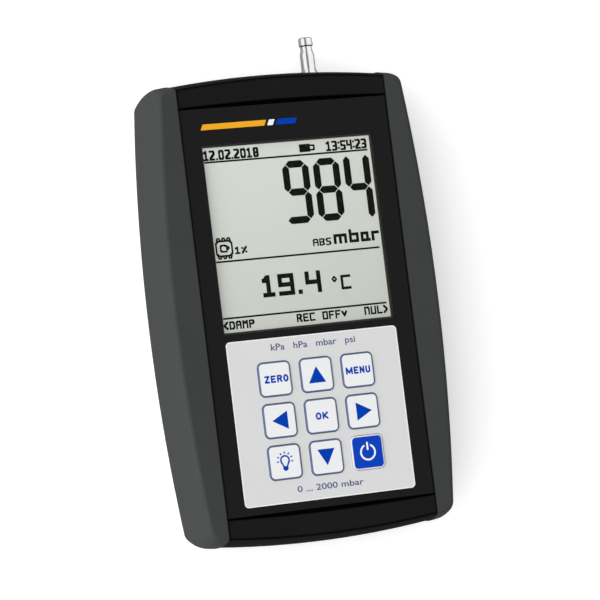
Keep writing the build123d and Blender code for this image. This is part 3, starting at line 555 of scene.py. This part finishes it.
# Seven hexagonal segments make each large figure
segment_width = 2.4 * millimetre
segment_gap = 0.16 * millimetre
digit_width = 7.0 * millimetre
digit_pitch = 11.0 * millimetre
digit_start = -1.35 * millimetre
digit_rows = (23.15, 13.75, 4.35)
lit_segments = {"9": "ABCDFG", "8": "ABCDEFG", "4": "BCFG"}


def segment(start, end, start_gap, end_gap):
    """A bar with pointed ends between two corners of a figure."""
    along = (Vector(end) - Vector(start)).normalized()
    side = Vector((-along.y, along.x)) * segment_width / 2
    first = Vector(start) + along * start_gap
    last = Vector(end) - along * end_gap
    tip = along * segment_width / 2
    return [first, first + tip - side, last - tip - side, last, last - tip + side, first + tip + side]


outlines = []
for index, figure in enumerate("984"):
    left = view_x + digit_start + index * digit_pitch
    right = left + digit_width
    top, middle, bottom = (view_y + row * millimetre for row in digit_rows)
    places = {
        "A": ((left, top), (right, top)), "B": ((right, top), (right, middle)),
        "C": ((right, middle), (right, bottom)), "D": ((left, bottom), (right, bottom)),
        "E": ((left, middle), (left, bottom)), "F": ((left, top), (left, middle)),
        "G": ((left, middle), (right, middle)),
    }
    lit = [places[name] for name in lit_segments[figure]]
    ends = [end for pair in lit for end in pair]
    for pair in lit:
        gaps = [segment_gap if ends.count(end) > 1 else -segment_width / 2 for end in pair]
        outlines.append(segment(*pair, *gaps))
large_mesh = plates_mesh("display_reading", outlines, glass_high.z, ink_thickness)
link_piece("display_reading", large_mesh, display_ink, "housing")

# Display window
# A clear acrylic pane, flush with the panel and bonded to it from behind.
clear_pane, pane_tree, pane_shader = new_material("clear_pane", 0.25)
pane_shader["Base Color"].default_value = (0.01, 0.011, 0.01, 1.0)
pane_shader["Roughness"].default_value = 0.02
pane_shader["IOR"].default_value = 1.49
pane_shader["Alpha"].default_value = 0.05
dress(clear_pane, "display_window")

# Side grips
# Two dark grey soft mouldings, which wrap the long sides and all four corners. A rib on each is clamped between the
# shells. The rounded edge beside the panel is darkened with painted shade.
grip_grey, grip_tree, grip_shader = new_material("grip_grey", 0.15)
# Painted shade darkens the grip's rounded edge that faces the panel
grip_side = calculate(grip_tree, "SIGN", place_axes(grip_tree)["X"])
turned_in = calculate(grip_tree, "MULTIPLY", place_axes(grip_tree, "Normal")["X"], grip_side)
grip_edge_shade = ramp(grip_tree, turned_in, -0.7, -0.15, 1.0, 0.0)
grip_tone = blend(grip_tree, grip_edge_shade, (0.0385, 0.0428, 0.0402, 1.0), grey(0.012))
finish_surface(grip_tree, grip_shader, grip_tone, 0.62, 0.14, 0.0004, 0.00002)
dress(grip_grey, "left_grip", "right_grip")

# Front panel
# A printed sheet in the shell's recess, satin black, with a plain band of orange, white and blue
# bars printed above the display.
panel_black, panel_tree, panel_shader = new_material("panel_black", 0.06)
# Painted shade darkens the panel along both long edges, beside the gaps to the grips
panel_joint_shade = joint_shade_mask(panel_tree, place_axes(panel_tree)["X"], panel_corner.x)
panel_tone = blend(panel_tree, panel_joint_shade, (0.0084, 0.0087, 0.0083, 1.0), grey(0.001))
finish_surface(panel_tree, panel_shader, panel_tone, 0.42, 0.15, 0.00035, 0.000006)
dress(panel_black, "front_panel")
print_thickness = 0.00001


def slanted_bar(left, right, low, high, slant):
    """A bar with slanted ends, from sizes in millimetres."""
    corners = ((left, low), (right, low), (right + slant, high), (left + slant, high))
    return [(x * millimetre, y * millimetre) for x, y in corners]


bar_low = 60.4
bar_high = 62.3
bar_slant = 0.9
orange_ink = moulding("orange_ink", (0.82, 0.375, 0.015), 0.45, 0.2, 0.08, 0.0005, 0.000002)
white_ink = moulding("white_ink", (0.84, 0.85, 0.87), 0.45, 0.3, 0.04, 0.0005, 0.000002)
blue_ink = moulding("blue_ink", (0.0, 0.045, 0.40), 0.45, 0.05, 0.1, 0.0005, 0.000002)
for name, material, left, right in (
    ("band_orange", orange_ink, -30.0, -7.6),
    ("band_white", white_ink, -6.6, -4.6),
    ("band_blue", blue_ink, -3.6, 3.4),
):
    bar_mesh = plates_mesh(name, [slanted_bar(left, right, bar_low, bar_high, bar_slant)], panel_top, print_thickness)
    link_piece(name, bar_mesh, material, "housing")

# Keypad sheet
# A thin pale grey sheet, stuck into the panel's pocket round the keys, with a white band painted along its edge as
# the highlight on its embossed rim.
# Small blue-grey lettering names the pressure units above the keys and the range below them.
sheet_low, sheet_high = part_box("keypad_sheet")
border_softness = 0.04 * millimetre


def border_group():
    """A mask that is one on a band along the inside of a rectangle with rounded corners."""
    names = ("Half Width", "Half Length", "Corner Radius", "Band")
    group, given, result = new_group(
        "border_band", {"Vector": "Vector", **{name: "Float" for name in names}}, {"Mask": "Float"}
    )
    axes = add_node(group, "SeparateXYZ", {"Vector": given["Vector"]}).outputs
    radius = given["Corner Radius"]
    past = []
    for axis, reach in (("X", "Half Width"), ("Y", "Half Length")):
        to_arc = calculate(group, "SUBTRACT", given[reach], radius)
        past.append(calculate(group, "SUBTRACT", calculate(group, "ABSOLUTE", axes[axis]), to_arc))
    squares = [calculate(group, "POWER", calculate(group, "MAXIMUM", value, 0.0), 2.0) for value in past]
    outside = calculate(group, "SQRT", calculate(group, "ADD", *squares))
    inside = calculate(group, "MINIMUM", calculate(group, "MAXIMUM", *past), 0.0)
    depth = calculate(group, "SUBTRACT", calculate(group, "ADD", outside, inside), radius)
    past_band = calculate(group, "ADD", depth, given["Band"])
    group.links.new(ramp(group, past_band, 0.0, border_softness, 0.0, 1.0), result["Mask"])
    return group


border_band = border_group()


def bordered(name, field, border, centre, half_size, corner_radius, band, pitch=None):
    """A surface with a border band along its edge; the pitch is that of a row of like pieces."""
    material, tree, shader = new_material(name, 0.15)
    place = add_node(tree, "TexCoord", {}).outputs["Object"]
    offset = add_node(tree, "VectorMath", {0: place, 1: (*centre, 0.0)}, operation="SUBTRACT").outputs["Vector"]
    if pitch:
        half_pitch = Vector((pitch[0] / 2, pitch[1] / 2, 1.0))
        wrap = {0: offset, 1: half_pitch, 2: -half_pitch}
        offset = add_node(tree, "VectorMath", wrap, operation="WRAP").outputs["Vector"]
    edge = add_node(tree, "Group", {}, node_tree=border_band)
    tree.links.new(offset, edge.inputs["Vector"])
    sizes = {"Half Width": half_size[0], "Half Length": half_size[1], "Corner Radius": corner_radius, "Band": band}
    for socket_name, value in sizes.items():
        edge.inputs[socket_name].default_value = value
    tone = blend(tree, edge.outputs["Mask"], (*field, 1.0), (*border, 1.0))
    finish_surface(tree, shader, tone, 0.42, 0.03, 0.0004, 0.000003)
    return material


sheet_centre = (sheet_low + sheet_high) / 2
sheet_size = (sheet_high - sheet_low) / 2
sheet_corner = 1.4 * millimetre
# The white band along the sheet's edge is a painted highlight of its embossed rim
sheet_grey = bordered(
    "sheet_grey", (0.655, 0.655, 0.66), (0.86, 0.86, 0.86), sheet_centre.xy, (sheet_size.x, sheet_size.y),
    sheet_corner, 0.35 * millimetre,
)
dress(sheet_grey, "keypad_sheet")
lettering_ink = moulding("lettering_ink", (0.07, 0.09, 0.2), 0.5, 0.3, 0.08, 0.0004, 0.000002)
key_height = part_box("key_ok")[1].z


def lettering(name, words, x, y, width, height, weight, low, material, body):
    """Printed words, fitted to a width and a height round a centre, in millimetres."""
    curve = bpy.data.curves.new(name, "FONT")
    curve.body = words
    curve.size = 1.0
    curve.offset = weight
    curve.extrude = 0.5
    curve.resolution_u = 3
    holder = add_object(name + "_shape", curve)
    bpy.context.view_layer.update()
    mesh = bpy.data.meshes.new_from_object(holder.evaluated_get(bpy.context.evaluated_depsgraph_get()))
    bpy.data.objects.remove(holder)
    bpy.data.curves.remove(curve)
    mesh.name = name
    mesh.materials.clear()
    places = [vertex.co for vertex in mesh.vertices]
    low_x, high_x = min(p.x for p in places), max(p.x for p in places)
    low_y, high_y = min(p.y for p in places), max(p.y for p in places)
    for place in places:
        place.x = (x + (place.x - (low_x + high_x) / 2) * width / (high_x - low_x)) * millimetre
        place.y = (y + (place.y - (low_y + high_y) / 2) * height / (high_y - low_y)) * millimetre
        place.z = low + (place.z + 0.5) * print_thickness
    cleaned = bmesh.new()
    cleaned.from_mesh(mesh)
    bmesh.ops.remove_doubles(cleaned, verts=cleaned.verts, dist=1e-7)
    cleaned.to_mesh(mesh)
    cleaned.free()
    return link_piece(name, mesh, material, body)


lettering(
    "lettering_units", "kPa   hPa   mbar   psi", 0.2, -13.6, 30.0, 2.9, 0.014, sheet_high.z, lettering_ink,
    "housing",
)
lettering(
    "lettering_range", "0 ... 2000 mbar", 0.3, -60.7, 23.6, 2.1, 0.014, sheet_high.z, lettering_ink,
    "housing",
)

# Keys
# Nine square caps, moulded in white and printed with a blue-grey outline and a blue sign; the last
# one is blue with a white sign. Each slides in its hole in the panel on a snap dome.
key_pitch = (14.74 * millimetre, 13.78 * millimetre)
key_half = 5.7 * millimetre
key_corner = 1.8 * millimetre
ok_low, ok_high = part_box("key_ok")
ok_centre = (ok_low + ok_high) / 2
key_white = bordered(
    "key_white", (0.79, 0.80, 0.805), (0.095, 0.13, 0.25), ok_centre.xy, (key_half, key_half), key_corner,
    0.5 * millimetre, key_pitch,
)
key_blue = bordered(
    "key_blue", (0.0, 0.046, 0.45), (0.68, 0.68, 0.7), ok_centre.xy, (key_half, key_half), key_corner,
    0.5 * millimetre, key_pitch,
)
dress(key_white, "key_zero", "key_up", "key_menu", "key_left", "key_ok", "key_right", "key_light", "key_down")
dress(key_blue, "key_power")


def key_centre(name):
    """The middle of a key, in millimetres."""
    low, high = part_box(name)
    return (low.x + high.x) / 2 / millimetre, (low.y + high.y) / 2 / millimetre


# Bold capitals on the same grid as the display's figures
print_dot = 0.05 * millimetre
bold = 0.6
oval = [(2 + 2 * cos(pi * step / 12), 3 + 3 * sin(pi * step / 12)) for step in range(25)]
figures |= {
    "Z": [[(0, 6), (4, 6), (0, 0), (4, 0)]],
    "O": [oval],
    "R": [[(0, 0), (0, 6), (3, 6), (4, 5), (4, 4), (3, 3), (0, 3)], [(2, 3), (4, 0)]],
    "M": [[(0, 0), (0, 6), (2, 1), (4, 6), (4, 0)]],
    "N": [[(0, 0), (0, 6), (4, 0), (4, 6)]],
    "U": [[(0, 6), (0, 1.5), (0.4, 0.6), (1.2, 0), (2.8, 0), (3.6, 0.6), (4, 1.5), (4, 6)]],
    "K": [[(0, 0), (0, 6)], [(4, 6), (0, 2)], [(1, 3), (4, 0)]],
}
cap_height = 2.45
key_words = (
    ("zero", (("ZERO", -3.75, 1.85),)),
    ("menu", (("M", -4.35, 2.5), ("ENU", -1.5, 1.75))),
    ("ok", (("OK", -2.15, 2.05),)),
)
for name, parts in key_words:
    word_dots = set()
    for words, start, width in parts:
        write(word_dots, words, start, -cap_height / 2, width, cap_height, bold, 0.35, print_dot, round_nib)
    x, y = (place * millimetre for place in key_centre(f"key_{name}"))
    word_mesh = dots_mesh(f"sign_{name}", word_dots, print_dot, x, y, key_height, print_thickness)
    link_piece(f"sign_{name}", word_mesh, blue_ink, f"key_{name}_body")


def key_sign(name, outlines, material):
    """Flat printed shapes on one key, given round its middle in millimetres."""
    x, y = key_centre(f"key_{name}")
    placed = [[((x + i) * millimetre, (y + j) * millimetre) for i, j in outline] for outline in outlines]
    mesh = plates_mesh(f"sign_{name}", placed, key_height, print_thickness)
    link_piece(f"sign_{name}", mesh, material, f"key_{name}_body")


arrow_half = 3.05
arrow_reach = 2.75
arrow = ((-arrow_half, -arrow_reach), (arrow_half, -arrow_reach), (0, arrow_reach))
for name, quarter_turns, shift in (("up", 0, 0), ("left", 1, 0), ("down", 2, 0), ("right", 3, 0.45)):
    angle = quarter_turns * pi / 2
    turned = [(x * cos(angle) - y * sin(angle) + shift, x * sin(angle) + y * cos(angle)) for x, y in arrow]
    key_sign(name, [turned], blue_ink)


def arc(radius, start, end, steps):
    """Points on an arc round the origin, with its angles in degrees."""
    angles = [radians(start + (end - start) * step / steps) for step in range(steps + 1)]
    return [(radius * cos(angle), radius * sin(angle)) for angle in angles]


def ring(inner, outer, start, end, steps):
    """An open ring between two radii."""
    return arc(outer, start, end, steps) + arc(inner, end, start, steps)


power_gap = 24
power_ring = ring(2.2, 2.82, 90 + power_gap, 450 - power_gap, 40)
power_bar = [(-0.32, 0.7), (0.32, 0.7), (0.32, 3.4), (-0.32, 3.4)]
key_sign("power", [power_ring, power_bar], white_ink)

bulb_radius = 1.75
bulb_line = 0.58
bulb_lift = 0.6
neck_drop = 2.0
neck_half = 0.9
outer_glass = [(neck_half, -neck_drop), *arc(bulb_radius, -38, 218, 26), (-neck_half, -neck_drop)]
inner_glass = [(neck_half - bulb_line, -neck_drop), *arc(bulb_radius - bulb_line, -38, 218, 26)]
inner_glass += [(bulb_line - neck_half, -neck_drop)]
bulb_glass = [(x, y + bulb_lift) for x, y in outer_glass + inner_glass[::-1]]
cap_top = bulb_lift - neck_drop + 0.05
cap_end = cap_top - 1.55
bulb_cap = [(-neck_half, cap_top), (-neck_half, cap_end + 0.5), (-0.3, cap_end), (0.3, cap_end)]
bulb_cap += [(neck_half, cap_end + 0.5), (neck_half, cap_top)]
rays_of_light = []
for degrees_round in range(-10, 191, 33):
    angle = radians(degrees_round)
    along = Vector((cos(angle), sin(angle)))
    side = Vector((-along.y, along.x)) * 0.24
    near, far = along * 2.2, along * 2.85
    corners = (near - side, far - side, far + side, near + side)
    rays_of_light.append([(corner.x, corner.y + bulb_lift) for corner in corners])
key_sign("light", [bulb_glass, bulb_cap, *rays_of_light], blue_ink)

# Screws
# Zinc-plated cross-head screws: six for the board, four for the housing and one for the cover.
dress(
    moulding("zinc_plate", (0.35, 0.35, 0.36), 0.35, 0.5, 0.12, 0.0005, 0.000008, 1.0),
    "board_screws", "housing_screws", "cover_screw",
)
